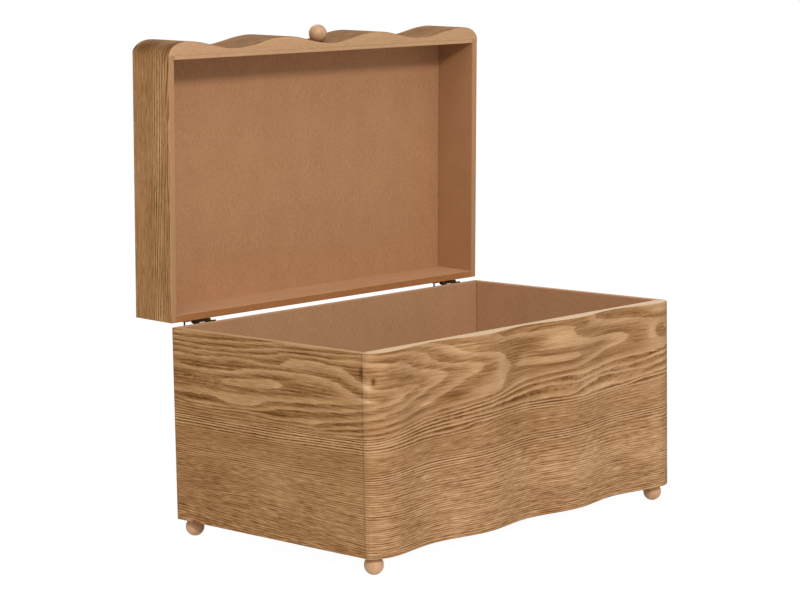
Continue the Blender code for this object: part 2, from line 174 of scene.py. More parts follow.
# Screen colour of 0 to 255 made the linear values that a shader takes, by the sRGB curve
def srgb(*values):
    part = np.array(values) / 255
    return tuple(np.where(part <= 0.04045, part / 12.92, ((part + 0.055) / 1.055) ** 2.4))


# Colour at a value, straight between the stops, which are pairs of position and screen colour
def ramp(tree, value, stops):
    stops = list(stops)
    made = node(tree, "ShaderNodeValToRGB", {"Fac": value})
    elements = made.color_ramp.elements
    while len(elements) < len(stops):
        elements.new(1.0)
    for element, (position, colour) in zip(elements, stops):
        element.position = position
        element.color = (*srgb(*colour), 1.0)
    return made.outputs["Color"]


# Values from low to high carried over to 0 to 1, or to another pair, and held at both ends
def carry(tree, value, low, high, toLow=0.0, toHigh=1.0, smooth=False):
    kind = "SMOOTHSTEP" if smooth else "LINEAR"
    return node(tree, "ShaderNodeMapRange",
                {"Value": value, "From Min": low, "From Max": high, "To Min": toLow,
                 "To Max": toHigh}, interpolation_type=kind).outputs[0]


# Mix of two colours, each a socket or a plain colour, with its colour inputs at 6 and 7
def mixColour(tree, factor, a, b, blend="MIX"):
    made = node(tree, "ShaderNodeMix", {"Factor": factor}, data_type="RGBA", blend_type=blend)
    for socket, value in ((made.inputs[6], a), (made.inputs[7], b)):
        if isinstance(value, bpy.types.NodeSocket):
            tree.links.new(value, socket)
        else:
            socket.default_value = (*value, 1.0)
    return made.outputs[2]


# New material, whose shader has these plain values until something is linked to it
def newFinish(name, roughness, metallic=0.0, specular=0.5):
    material = bpy.data.materials.new(name)
    material.use_nodes = True
    tree = material.node_tree
    shader = tree.nodes["Principled BSDF"]
    shader.inputs["Roughness"].default_value = roughness
    shader.inputs["Metallic"].default_value = metallic
    shader.inputs["Specular IOR Level"].default_value = specular
    return material, tree, shader


# Bumps as high as the height times the distance in metres
def bump(tree, shader, height, distance, strength):
    made = node(tree, "ShaderNodeBump", {"Height": height, "Distance": distance,
                                         "Strength": strength})
    tree.links.new(made.outputs["Normal"], shader.inputs["Normal"])


# The veneer's look. Lengths across the rings are in millimetres, amounts are steps on the
# colour ramp.
stain = {
    "roughness": 0.6,
    "gloss": 0.018,          # nearly none, where a polished surface has 0.5
    "colours": [(0.0, (96, 62, 34)), (0.25, (134, 96, 59)), (0.5, (164, 124, 86)),
                (1.0, (208, 171, 129))],
    # painted shade: the side boards are made darker and warmer than the front, which faces the
    # key light
    "sidePaintedShade": (0.97, 0.925, 0.845),    # the side boards' colour is multiplied by this
    "plain": 0.478,          # place on the ramp of wood with no ring and no pore
    # each noise: spots to a metre along and across the grain, detail and where it starts
    "noises": {
        "wobble": ((16, 90, 1), 3),
        "feather": ((50, 480, 1), 2, (3, 1, 0)),
        "streak": ((12, 320, 1), 2, (7, 4, 0)),
        "hair": ((45, 880, 1), 2, (2, 8, 0)),
        "pores": ((110, 1200, 1), 1, (1, 9, 0)),
        "blotch": ((7, 20, 1), 3, (5, 2, 0)),
        "strength": ((12, 70, 1), 2, (4, 6, 0)),
    },
    "ringWidths": (3.0, 12.0),   # narrow and wide rings
    "edgeWander": (1.2, 7.5),    # how far the edges of each of them wander
    "wobble": 0.4,
    "feather": 0.6,
    "drift": 0.2,            # share of its width that a ring's edge is moved by
    "driftMost": 1.2,
    "fall": 1.8,             # length over which wood turns dark at a ring's edge
    "fallMost": 0.3,         # and its most, as a share of the ring
    "rise": (0.32, 0.95),    # shares of the ring between which it turns light again
    "ringStep": 0.42,        # from dark to light within a ring
    "ringLeast": 0.6,        # contrast of the rings where their strength is least
    "ringMore": 0.8,         # and what full strength adds
    "speckled": 1.3,         # dark wood is speckled this much, light wood 1 less
    "speckPores": 0.75,
    "speckStreaks": 0.8,
    "streaks": 0.45,
    "hairs": 1.3,
    "openPores": (0.52, 0.72),   # noise between which a pore opens
    "poreDark": -0.14,
    "poreDeep": 0.5,
    "blotches": 0.36,
    "bump": 0.00012,
    "bumpStrength": 0.5,
}


# The veneer's colour is a ramp of plain wood plus rings, fine grain, pores, blotches and the
# sheet's lightness, which is partly the veneer's own and partly painted light and painted
# shade. Rings come from the fraction of the ring number that each point carries. The side
# boards take a painted shade.
def veneerFinish():
    material, tree, shader = newFinish("stainedVeneer", stain["roughness"],
                                       specular=stain["gloss"])
    uv = node(tree, "ShaderNodeUVMap", uv_map="grain").outputs["UV"]
    ring, width, crisp, toneAndShade, fine, side = (
        node(tree, "ShaderNodeAttribute", attribute_name=name).outputs["Fac"]
        for name in fieldNames)
    wobble, feather, streak, hair, pores, blotch, strength = (
        noise(tree, uv, *values) for values in stain["noises"].values())

    def plus(*parts):
        total = parts[0]
        for part in parts[1:]:
            total = maths(tree, "ADD", total, part)
        return total

    def times(a, b):
        return maths(tree, "MULTIPLY", a, b)

    def centred(value, amount):
        return maths(tree, "MULTIPLY_ADD", value, amount, -amount / 2)

    # Place across the ring: 0 at its edge, where the wood turns dark and full of pores, to 1
    # just before the next edge, where it is light and smooth. Both edges are feathered.
    reach = carry(tree, width, *stain["ringWidths"], *stain["edgeWander"])
    wander = times(plus(centred(wobble, stain["wobble"]), centred(feather, stain["feather"])),
                   reach)
    drift = maths(tree, "MINIMUM", times(width, stain["drift"]), stain["driftMost"])
    shift = maths(tree, "DIVIDE", maths(tree, "SUBTRACT", wander, drift), width)
    place = maths(tree, "FRACT", plus(ring, shift))
    softness = maths(tree, "MINIMUM", maths(tree, "DIVIDE", stain["fall"], width),
                     stain["fallMost"])
    fall = carry(tree, maths(tree, "DIVIDE", place, softness), 0.0, 1.0, 1.0, 0.0,
                 smooth=True)
    rise = carry(tree, place, *stain["rise"], smooth=True)
    light = maths(tree, "MAXIMUM", rise, fall)
    speckle = times(maths(tree, "SUBTRACT", stain["speckled"], light),
                    plus(centred(pores, stain["speckPores"]),
                         centred(streak, stain["speckStreaks"])))
    rings = times(times(plus(centred(light, stain["ringStep"]), speckle), crisp),
                  plus(stain["ringLeast"], times(strength, stain["ringMore"])))

    poreMask = carry(tree, pores, *stain["openPores"])
    grain = times(plus(centred(streak, stain["streaks"]), centred(hair, stain["hairs"])), fine)
    shade = plus(stain["plain"], rings, grain, times(poreMask, stain["poreDark"]),
                 centred(blotch, stain["blotches"]), toneAndShade)
    colour = ramp(tree, shade, stain["colours"])
    # The side boards take the painted shade: their colour is multiplied darker and warmer
    sideShaded = mixColour(tree, 1.0, colour, stain["sidePaintedShade"], "MULTIPLY")
    tree.links.new(mixColour(tree, side, colour, sideShaded), shader.inputs["Base Color"])
    bump(tree, shader, maths(tree, "SUBTRACT", grain, times(poreMask, stain["poreDeep"])),
         stain["bump"], stain["bumpStrength"])
    return material


plainWood = {
    "roughness": 0.6,
    "specular": 0.1,
    "fibres": 600,           # to a metre
    "clouds": 22,
    "cloudy": 0.25,          # share of the change of colour that the clouds make
    "detail": 3,
    "ends": (0.3, 0.7),      # noise at which the darker and the paler colour are reached
    "rimFacing": (0.3, 0.6),     # how far a face looks along the rim's direction
    "seamShadeWidth": 0.003,
    "seamShadeDark": 0.55,
    "bump": 0.0001,
    "bumpStrength": 0.3,
}


# Plain wood or board: fine fibre and soft clouds between two close colours. With a rim
# direction, faces that look that way get the paler colours of the cut edge. A seam is where
# on Y the inner faces of two boards meet: a thin dark joint line with painted shade of the
# inner corner. Any value of plainWood can be changed for one finish.
def boardFinish(name, pair, grain=(1, 1, 1), rim=None, rimPair=None, seam=None, **changes):
    look = {**plainWood, **changes}
    material, tree, shader = newFinish(name, look["roughness"], specular=look["specular"])
    coords = node(tree, "ShaderNodeTexCoord").outputs
    fibres = noise(tree, coords["Object"], tuple(look["fibres"] * g for g in grain),
                   look["detail"])
    clouds = noise(tree, coords["Object"], tuple(look["clouds"] * math.sqrt(g) for g in grain),
                   look["detail"])
    mixed = maths(tree, "ADD", maths(tree, "MULTIPLY", fibres, 1 - look["cloudy"]),
                  maths(tree, "MULTIPLY", clouds, look["cloudy"]))
    colour = ramp(tree, mixed, zip(look["ends"], pair))
    if rim:
        edge = ramp(tree, mixed, zip(look["ends"], rimPair))
        facing = node(tree, "ShaderNodeVectorMath", {0: coords["Normal"], 1: rim},
                      operation="DOT_PRODUCT").outputs["Value"]
        colour = mixColour(tree, carry(tree, facing, *look["rimFacing"]), colour, edge)
    # Painted shade: the inner corner is darkened over a few millimetres up to the seam, with
    # its dark joint line
    if seam:
        depth = node(tree, "ShaderNodeSeparateXYZ", {0: coords["Object"]}).outputs["Y"]
        line = carry(tree, depth, seam - look["seamShadeWidth"], seam, 0.0, look["seamShadeDark"])
        colour = mixColour(tree, line, colour, srgb(*pair[0]), "MULTIPLY")
    tree.links.new(colour, shader.inputs["Base Color"])
    bump(tree, shader, fibres, look["bump"], look["bumpStrength"])
    return material


patina = {"perMetre": (240, 240, 240), "detail": 4, "ends": (0.35, 0.65)}


# Old metal: noise between a dark and a light colour
def metalFinish(name, dark, light, roughness):
    material, tree, shader = newFinish(name, roughness, metallic=1.0)
    place = node(tree, "ShaderNodeTexCoord").outputs["Object"]
    spots = noise(tree, place, patina["perMetre"], patina["detail"])
    tree.links.new(ramp(tree, spots, zip(patina["ends"], (dark, light))),
                   shader.inputs["Base Color"])
    return material


# Darker and paler screen colour of each plain wood and metal
colours = {
    "board": ((158, 113, 78), (181, 135, 97)),
    "chest": ((160, 118, 85), (183, 140, 104)),
    "lidWall": ((151, 107, 73), (173, 128, 90)),
    # the chest's rims face up: pale wood with painted light, paler than the lid's beige rims
    "creamWithPaintedLight": ((196, 164, 128), (214, 184, 148)),
    "beige": ((170, 131, 95), (186, 147, 110)),
    "chestEdge": ((172, 134, 97), (190, 151, 115)),
    "lidEdge": ((157, 116, 81), (172, 131, 95)),
    # the lid's back rail is paler than the other inner boards: painted light on its inner
    # face, which faces up when the lid is open
    "rail": ((172, 128, 93), (190, 146, 110)),
    "railRim": ((152, 100, 57), (166, 114, 71)),
    "knob": ((158, 117, 81), (197, 156, 118)),
    "beech": ((179, 135, 96), (211, 168, 130)),
    "brass": ((42, 27, 13), (84, 57, 28)),
    "brassScrew": ((88, 62, 34), (132, 98, 56)),
    "steel": ((24, 20, 18), (44, 38, 33)),
}

# Grain along one axis of the object: what share of its fibres to a metre each axis gets.
# Upward and forward are the ways that the rims of the chest and of the open lid face.
grainX, grainY, grainZ = (0.15, 1, 1), (1, 0.15, 1), (1, 1, 0.15)
softGrainZ, turnedGrain = (1, 1, 0.3), (1, 1, 0.4)
upward, forward = (0, 0, 1), (0, -1, 0)
turnedLook = {"specular": 0.4, "clouds": 150, "cloudy": 0.4, "roughness": 0.45}

print("finishes")
veneer = veneerFinish()
innerBoard = boardFinish("innerBoard", colours["board"], softGrainZ)
# The chest's side walls get the dark joint line and painted shade where they meet the back
# board
walls = {"chest": boardFinish("chestWall", colours["chest"], softGrainZ,
                              seam=chest["backY"] - chest["sideThickness"]),
         "lid": boardFinish("lidWall", colours["lidWall"])}
# The chest's rims are pale wood with painted light, paler than the lid's rims
rims = {"chest": boardFinish("creamRimPaintedLight", colours["creamWithPaintedLight"], grainX, specular=0.5),
        "lid": boardFinish("beigeRim", colours["beige"], grainX)}
edges = {"chest": boardFinish("chestEdge", colours["chestEdge"], grainY),
         "lid": boardFinish("lidEdge", colours["lidEdge"], grainY)}
beech = boardFinish("turnedBeech", colours["beech"], turnedGrain, **turnedLook)
knobBeech = boardFinish("knobBeech", colours["knob"], turnedGrain, **turnedLook)
boards = {
    "chest_front_liner": boardFinish("chestLiner", colours["chest"], grainX, upward,
                                     colours["creamWithPaintedLight"], specular=0.5),
    "chest_back_board": boardFinish("chestBack", colours["chest"], grainZ, upward,
                                    colours["chestEdge"]),
    "lid_front_liner": boardFinish("lidLiner", colours["board"], grainX, forward,
                                   colours["beige"]),
    # Its inner face takes painted light, paler than the other inner boards
    "lid_back_rail": boardFinish("lidRailPaintedLight", colours["rail"], grainX, forward,
                                 colours["railRim"]),
}
agedBrass = metalFinish("agedBrass", *colours["brass"], roughness=0.55)
screwBrass = metalFinish("screwBrass", *colours["brassScrew"], roughness=0.45)
blackSteel = metalFinish("blackSteel", *colours["steel"], roughness=0.55)

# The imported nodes, of which those that no new piece replaces are seen
slotOf = {part["node"]: part["material_slot"] for part in frame["record"]["subparts"]}
for nodeName, nodeObject in frame["nodes"].items():
    bySlot = {"dark_brass": screwBrass if "screw" in nodeName else agedBrass,
              "dark_steel": blackSteel, "beech": beech}
    finish = bySlot.get(slotOf[nodeName], boards.get(nodeName, innerBoard))
    nodeObject.data.materials.clear()
    nodeObject.data.materials.append(finish)


# Front line seen from above: a quarter ellipse at each end and a cosine between them, given
# as x, depth in front of the joint plane and length along the line.
def frontLine(step):
    lastCrest = chest["halfWidth"] - wave["cornerRun"]
    turn = np.linspace(0, math.pi / 2, wave["cornerPoints"])[:-1]
    cornerX = -(lastCrest + wave["cornerRun"] * np.cos(turn))
    cornerDepth = wave["crest"] * np.sin(turn)
    middleX = np.linspace(-lastCrest, lastCrest, wave["wavePoints"])
    phase = math.pi * wave["troughs"] * (middleX / lastCrest + 1) + math.pi
    middleDepth = wave["crest"] - wave["depth"] / 2 * (1 + np.cos(phase))
    x = np.concatenate([cornerX, middleX, -cornerX[::-1]])
    depth = np.concatenate([cornerDepth, middleDepth, cornerDepth[::-1]])
    run = np.concatenate([[0], np.cumsum(np.hypot(np.diff(x), np.diff(depth)))])
    even = np.linspace(0, run[-1], int(round(run[-1] / step)) + 1)
    return np.interp(even, run, x), np.interp(even, run, depth), even


frontX, frontDepth, frontRun = frontLine(chest["step"])
metre = 1000.0               # in millimetres, in which the sheet of veneer is drawn
sheetEnd = frontRun[-1] * metre

# The veneer is one sheet wrapped round the box: u runs along it from the left joint, v up
# from the underside, both in millimetres. Each arch is a growth ring drawn by a few points,
# each line below them a ring that runs the whole length.
sheet = {
    "arches": {
        0.8: [(-300, 251), (-250, 254)],
        1: [(-447, 250), (-400, 249.5), (-350, 249.5), (-300, 254), (-250, 260), (-210, 262),
            (-185, 257), (-210, 251), (-250, 248.5), (-300, 247.5)],
        1.35: [(-400, 257), (-350, 257), (-400, 243), (-350, 242), (-300, 241)],
        1.5: [(-145, 256), (-85, 258)],
        2: [(-447, 269), (-422, 267), (-397, 264), (-347, 264), (-297, 268), (-272, 273),
            (-247, 276), (-197, 279), (-147, 280), (-97, 278.5), (-57, 274), (-34, 264),
            (-22, 259), (10, 251), (-22, 245.5), (-72, 241.5), (-122, 236.5), (-172, 233),
            (-222, 230), (-234, 225), (-247, 220), (-272, 216.5), (-297, 215.5),
            (-317, 218), (-337, 225), (-372, 226), (-422, 224), (-447, 223)],
        3: [(-447, 287), (-347, 287), (-297, 291), (-234, 288.5), (-184, 289), (-159, 302),
            (-97, 303.5), (-52, 297), (-22, 283), (0, 278), (10, 271), (40, 267),
            (125, 262), (90, 256), (60, 247), (30, 243), (0, 238.5), (-47, 230.5),
            (-97, 226), (-147, 224), (-197, 220.5), (-222, 214), (-272, 210.5),
            (-322, 209), (-397, 208), (-422, 212), (-447, 214)],
        4: [(-447, 297), (-397, 295.5), (-347, 296), (-247, 299), (-197, 305.5),
            (-147, 310), (-72, 309), (-22, 314), (0, 313), (50, 306), (82, 305), (97, 299),
            (125, 288), (150, 284), (175, 279), (192, 272), (180, 264), (150, 255.5),
            (105, 243), (67, 233), (37, 229), (0, 223), (-47, 215.5), (-97, 208),
            (-122, 203), (-197, 202), (-272, 206), (-372, 203.5), (-447, 208)],
        5: [(-447, 306), (-347, 304), (-272, 307), (-209, 314), (-147, 317), (-50, 320),
            (0, 323), (100, 320), (140, 312), (155, 300.5), (175, 292), (212, 287),
            (255, 283), (263, 279), (250, 268), (225, 262.5), (200, 249), (175, 240),
            (140, 229), (70, 218), (25, 213), (0, 210), (-50, 203), (-100, 196.5),
            (-200, 196), (-300, 200), (-447, 202), (790, 284)],
        5.3: [(225, 232), (195, 232), (215, 242), (290, 277)],
        5.8: [(300, 246), (270, 240), (250, 236)],
        6: [(-447, 314), (-297, 318), (-200, 325), (-100, 326), (0, 332), (150, 326),
            (195, 318), (225, 303), (275, 298), (312, 291), (325, 280), (330, 268),
            (326, 256), (320, 244), (312, 233), (290, 228), (260, 226.5), (230, 223.5),
            (200, 220.5), (150, 214), (100, 209), (50, 205), (0, 201), (-50, 196),
            (-100, 192.5), (-200, 192), (-447, 196)],
        5.9: [(400, 266), (430, 266), (460, 265.5), (490, 265.5), (507, 265)],
        6.25: [(350, 304), (385, 303), (415, 302), (425, 275), (450, 273.5), (480, 272),
               (505, 273), (530, 273), (550, 270), (575, 272), (595, 275), (615, 275),
               (415, 256), (440, 255), (470, 254), (495, 256), (515, 259), (535, 264)],
        6.75: [(440, 284), (480, 283), (520, 281), (545, 280)],
        7: [(-447, 322), (-250, 330), (250, 334), (300, 325), (330, 314), (400, 312),
            (440, 314), (500, 313), (503, 303), (515, 295), (535, 290), (560, 286.5),
            (600, 284.5), (640, 285.5), (654, 282), (660, 278), (654, 274), (640, 269.5),
            (620, 266), (600, 263.5), (580, 259.5), (560, 255), (540, 251), (500, 246),
            (440, 242.5), (387, 236), (325, 227), (275, 221), (225, 215), (175, 210),
            (125, 206), (75, 199), (37, 195.5), (0, 193), (-50, 191), (-200, 190),
            (-447, 192)],
        7.25: [(520, 300), (560, 295), (610, 294), (650, 295), (685, 290), (680, 275),
               (670, 262), (640, 256), (600, 253), (515, 312), (525, 320)],
        7.9: [(550, 318), (575, 315), (600, 308), (640, 306.5), (680, 305), (712, 301),
              (715, 285), (715, 272), (730, 263), (745, 261), (740, 297)],
        8.2: [(741, 287), (741, 276), (756, 291), (756, 271), (775, 282), (580, 325),
              (600, 318), (640, 317), (670, 318), (700, 309.5), (730, 307.5), (755, 305)],
        8.8: [(720, 320), (750, 315)],
        9: [(790, 325)],
    },
    "lines": {
        8: [(-447, 187), (-200, 186), (0, 189), (100, 198), (150, 203), (200, 206.5),
            (250, 213), (300, 217.5), (350, 222.5), (400, 229), (475, 234), (525, 234),
            (575, 235.5), (650, 242), (700, 245.5), (750, 250.5), (790, 255)],
        9: [(-447, 183), (-200, 181), (0, 185), (100, 193), (150, 197.5), (200, 201),
            (250, 206), (300, 210.5), (350, 212.5), (400, 218), (450, 222), (500, 220),
            (550, 223), (612, 227), (650, 228), (687, 232), (725, 238), (790, 246)],
        10: [(-447, 179), (-200, 177), (0, 181), (100, 187.5), (150, 191), (200, 194),
             (250, 198), (300, 200.5), (487, 200), (507, 203), (525, 209), (550, 214),
             (587, 219), (650, 218), (700, 220), (750, 227), (790, 233)],
        11: [(-447, 175), (-200, 173), (0, 177), (75, 182), (150, 186), (200, 188),
             (250, 193), (300, 194.5), (475, 195.5), (525, 194), (550, 197), (640, 198),
             (687, 205.5), (725, 210.5), (790, 214)],
        12: [(-447, 170), (-200, 168), (0, 172.5), (60, 174.5), (115, 177.5), (200, 179),
             (225, 182), (250, 188), (300, 190), (400, 191), (475, 190), (600, 190),
             (660, 194), (700, 203), (790, 207)],
        13: [(-447, 164), (-200, 163.5), (0, 168), (100, 171), (200, 173), (260, 178),
             (300, 185), (340, 187), (420, 186.5), (500, 185), (600, 186), (700, 193),
             (790, 202)],
        22: [(-447, 130), (-200, 129), (0, 131), (100, 135), (200, 136), (300, 138),
             (420, 140), (600, 143), (790, 150)],
        25: [(-447, 120), (-200, 118), (0, 121), (100, 123), (200, 123.5), (300, 126),
             (420, 128), (600, 131), (790, 138)],
        32: [(-447, 95), (-200, 94), (0, 94), (200, 92), (420, 93), (600, 91), (790, 92)],
        40: [(-447, 66), (-250, 76), (-100, 66), (0, 62), (100, 60), (200, 62), (790, 62)],
        54: [(-447, 36), (-200, 22), (0, 16), (420, 18), (790, 16)],
        60: [(-447, 8), (-200, -4), (0, -6), (790, -4)],
    },
    # pairs of ring number and strength: of the rings on the side boards, of the rings on the
    # front and of the fine grain
    "crispSide": [(0, 0.85), (7, 0.9), (8, 2.0), (13, 1.8), (14, 0.4), (21, 0.4), (22, 1.2),
                  (25, 1.2), (26, 0.6), (60, 0.7)],
    "crispFront": [(0, 0.58), (7, 0.62), (8, 1.6), (13, 1.5), (14, 0.35), (21, 0.35),
                   (22, 1.6), (25, 1.6), (26, 0.75), (60, 0.9)],
    "fine": [(0, 0.6), (7, 0.55), (8, 0.3), (13, 0.35), (15, 0.85), (21, 0.85), (22, 0.4),
             (25, 0.4), (26, 0.95), (60, 1.1)],
    # soft patches: middle and reach along and up, and how much lighter the wood is there. Most
    # are the veneer's own colour; the tall narrow ones on the front, reaching 60 mm or more
    # up, are painted light and painted shade that change the shading of the waves' slopes
    "patches": [
        (-280, 228, 45, 10, 0.2), (-120, 296, 35, 5, 0.2), (-192, 256, 12, 5, 0.18),
        (12, 251, 15, 4, 0.2), (8, 273, 8, 8, 0.14), (150, 229, 20, 4, 0.2),
        (160, 270, 18, 6, 0.14), (235, 311, 40, 7, 0.25), (315, 270, 10, 20, 0.1),
        (470, 297, 38, 12, 0.22), (570, 315, 25, 6, 0.2), (625, 276, 25, 7, 0.15),
        (716, 285, 8, 15, 0.15), (735, 317, 25, 4, 0.2), (600, 202, 45, 4, 0.2),
        (-110, 206, 35, 4, 0.2), (-50, 297, 20, 4, 0.1), (-110, 256, 45, 10, -0.08),
        (-400, 218, 35, 5, -0.2), (-300, 283, 40, 5, -0.15), (-200, 210, 20, 4, -0.15),
        (360, 275, 25, 20, -0.12), (640, 318, 40, 5, -0.15), (70, 264, 45, 5, -0.12),
        (70, 285, 40, 8, -0.08), (210, 235, 25, 8, -0.1), (18, 283, 3, 5, -0.7),
        (-3, 297, 4, 10, -0.35), (-380, 100, 110, 300, -0.06), (97, 120, 18, 120, -0.06),
        (550, 100, 35, 150, 0.07), (735, 120, 25, 150, 0.12), (200, 172, 900, 38, -0.07),
        (300, 80, 450, 28, 0.05), (300, 268, 400, 22, 0.05), (460, 272.5, 45, 1.8, -0.2),
        (590, 275, 28, 2.5, -0.25), (450, 256, 50, 2, -0.2), (510, 258, 18, 2.5, -0.15),
        (400, 303, 25, 2.5, -0.2), (415, 318, 15, 1.5, -0.2), (455, 265.5, 50, 2.5, 0.15),
        (35, 309, 45, 3, 0.12), (10, 276, 12, 7, 0.18), (15, 252, 16, 3.5, 0.15),
        (360, 212, 30, 4, 0.1), (-270, 85, 45, 80, -0.035), (305, 85, 28, 80, 0.035),
        (440, 85, 40, 80, -0.03), (600, 85, 32, 80, 0.05), (-350, 240, 45, 70, 0.05),
        (-110, 240, 28, 70, 0.045), (200, 240, 28, 70, -0.045), (97, 250, 15, 60, -0.05),
        (415, 240, 22, 70, -0.055), (545, 240, 40, 70, 0.07), (615, 240, 25, 70, 0.03),
        (-220, 236, 220, 8, 0.07), (-220, 175, 220, 8, 0.05), (-220, 10, 230, 12, -0.035),
        (410, 70, 330, 26, 0.03), (410, 128, 330, 24, -0.035), (410, 8, 330, 10, -0.03),
        (-220, 205, 220, 12, -0.03),
    ],
    "knotStretch": 0.2,      # arches are about five times as long as they are high
    "knotSlack": 0.2,        # lets the rings pass a little beside the drawn points
    "knotsAbove": 258,       # rings above this height are finished as arches
    "levelFrom": 265,        # height from which the fine grain runs level
    "tipWeight": 3,          # what a slope along the grain counts in the width of a ring
    "slopes": (0.01, 2),     # least and most slope, in rings to a millimetre
    "outerArch": 7,
    "faintFrom": 7.5,        # from this ring number on wide rings are fainter
    "faintStart": 1.15,      # strength of a ring without width
    "faintWidth": 20,        # width over which the strength falls by 1
    "faintLeast": 0.55,
    "jointTone": -0.2,       # dark line where a side board meets the front
    "jointWidth": 0.0003,
}

# The sheet on the lid, in metres
lidSheet = {
    "rim": 0.205,            # height of the lid's rim on the sheet
    # painted shade: the open lid's front faces up, and it is made darker than the sides, most
    # of all beside the corners
    "dark": 0.2,             # how much darker the front is
    "shadeStart": -0.004,     # from the end of the front, where the wood begins to darken
    "shadeOver": 0.02,
    "cornerShade": 0.19,      # soft darker band beside each corner
    "cornerMiddle": 0.02,
    "cornerReach": 0.022,
    "clearEnd": 0.055,       # height above the rim where the rings would be gone
    "clearOver": 0.017,      # height over which they fade
    "clearLeast": 0.45,      # and what is left of them all the same
}

# The sheet on the lid's top panel, in metres
panelSheet = {
    "middle": 0.2,           # place along the sheet of the panel's middle
    "height": 0.262,         # height on the sheet of its centre line
    "fall": 0.9,             # what the sheet falls by for each metre towards an edge
    # half of the sides' painted shade: between the colour of the front and of the sides
    "side": 0.5,             # between the colour of the front and of the sides
}


# Value on the straight lines between pairs of place and value
def along(pairs, value):
    knots = np.array(pairs, float)
    return np.interp(value, knots[:, 0], knots[:, 1])


# Ring number over the arches: a plane plus a weighted sum of distances to all drawn points,
# with the weights found so that every point gets nearly its own ring's number. The first
# line below the arches counts too.
def archSurface():
    knots = np.array([(u, v, ring) for ring, points in sheet["arches"].items()
                      for u, v in points])
    first = min(sheet["lines"])
    knots = np.concatenate([knots, [(u, v, first) for u, v in sheet["lines"][first]]])
    place = knots[:, :2] * (sheet["knotStretch"], 1)
    count = len(knots)
    spread = np.linalg.norm(place[:, None] - place[None], axis=-1)
    plane = np.concatenate([np.ones((count, 1)), place], axis=1)
    system = np.block([[spread - sheet["knotSlack"] * np.eye(count), plane],
                       [plane.T, np.zeros((3, 3))]])
    weights = np.linalg.solve(system, np.concatenate([knots[:, 2], np.zeros(3)]))
    return place, weights


print("veneer sheet")
archPlaces, archWeights = archSurface()


# Ring number over the arches at each point: the last three weights are the plane's
def archRing(u, v):
    place = np.stack([u * sheet["knotStretch"], v], -1).reshape(-1, 2)
    ring = archWeights[-3] + place @ archWeights[-2:]
    for knot, weight in zip(archPlaces, archWeights):
        ring += weight * np.hypot(place[:, 0] - knot[0], place[:, 1] - knot[1])
    return ring.reshape(np.shape(u))


# Ring number and grain height at each point of the sheet. Below the arches both are
# interpolated between the lines above and below the point.
def ringAndGrain(u, v):
    numbers = sorted(sheet["lines"])
    heights = [along(sheet["lines"][n], u) for n in numbers]
    starts = [along(sheet["lines"][n], 0.0) for n in numbers]
    ring, grain = np.full(u.shape, float(numbers[0])), np.full(u.shape, starts[0])
    for i in range(len(numbers) - 1):
        part = np.clip((heights[i] - v) / (heights[i] - heights[i + 1]), 0, 1)
        ring += part * (numbers[i + 1] - numbers[i])
        grain += part * (starts[i + 1] - starts[i])
    above = v > heights[0]
    ring = np.where(above, archRing(u, v), ring)
    level = sheet["levelFrom"]
    lift = (heights[0] - starts[0]) * np.clip((level - v) / (level - heights[0]), 0, 1)
    return ring, np.where(above, v - lift, grain)


# Everything the veneer's finish needs: ring, width of a ring in millimetres, how crisp the
# rings are, how light the sheet is with its painted light and shade, and how strong the fine
# grain is. The width is 1 over the rings in the next millimetre, where those along the grain
# count more, so the tips of the arches fade out more softly. The sheet is mirrored beyond the
# right joint. Side is 1 on the side boards, which take a painted shade, darker and warmer
# than the front, and 0 on the front.
def sheetFields(u, v, side=None):
    u, v = np.broadcast_arrays(np.asarray(u) * metre, np.asarray(v) * metre)
    far = sheetEnd - np.abs(u - sheetEnd)
    ring, grain = ringAndGrain(far, v)
    slopeU = ringAndGrain(far + 1, v)[0] - ring
    slopeV = ringAndGrain(far, v + 1)[0] - ring
    width = 1 / np.clip(np.hypot(sheet["tipWeight"] * slopeU, slopeV), *sheet["slopes"])
    toneAndShade = np.zeros(u.shape)
    for middleU, middleV, reachU, reachV, amount in sheet["patches"]:
        toneAndShade += amount * np.exp(-((far - middleU) / reachU) ** 2
                                - ((v - middleV) / reachV) ** 2)
    side = ((u < 0) | (u > sheetEnd)).astype(float) if side is None else np.full(u.shape, side)
    zone = np.where(v > sheet["knotsAbove"], np.minimum(ring, sheet["outerArch"]), ring)
    crisp = (side * along(sheet["crispSide"], zone)
             + (1 - side) * along(sheet["crispFront"], zone))
    faint = np.clip(sheet["faintStart"] - width / sheet["faintWidth"], sheet["faintLeast"], 1)
    crisp = crisp * np.where(zone > sheet["faintFrom"], faint, 1)
    fields = [ring, width, crisp, toneAndShade, along(sheet["fine"], zone), side]
    return np.stack([u / metre, grain / metre], -1), np.stack(fields, -1)


# On the chest the sheet is as drawn, with a dark line just past each end of the front
def chestFields(u, v):
    uv, fields = sheetFields(u, v)
    past = np.maximum(-u, u - frontRun[-1])
    fields[..., toneAndShadeAt] += np.where((past > 0) & (past < sheet["jointWidth"]),
                                    sheet["jointTone"], 0)
    return uv, fields


# On the lid the sheet is upside down. The front is painted darker than the sides, most of all
# beside the corners: a painted shade on the open lid's front, which faces up. Its rings are
# clearest along the rim.
def lidFields(u, v):
    uv, fields = sheetFields(u, lidSheet["rim"] - v)
    inward = np.minimum(u, frontRun[-1] - u)
    front = np.clip((inward - lidSheet["shadeStart"]) / lidSheet["shadeOver"], 0, 1)
    corner = np.exp(-((inward - lidSheet["cornerMiddle"]) / lidSheet["cornerReach"]) ** 2)
    # Painted shade on the front and beside its corners
    fields[..., toneAndShadeAt] -= lidSheet["dark"] * front + lidSheet["cornerShade"] * corner
    fields[..., crispAt] *= np.clip((lidSheet["clearEnd"] - v) / lidSheet["clearOver"],
                                    lidSheet["clearLeast"], 1)
    return uv, fields


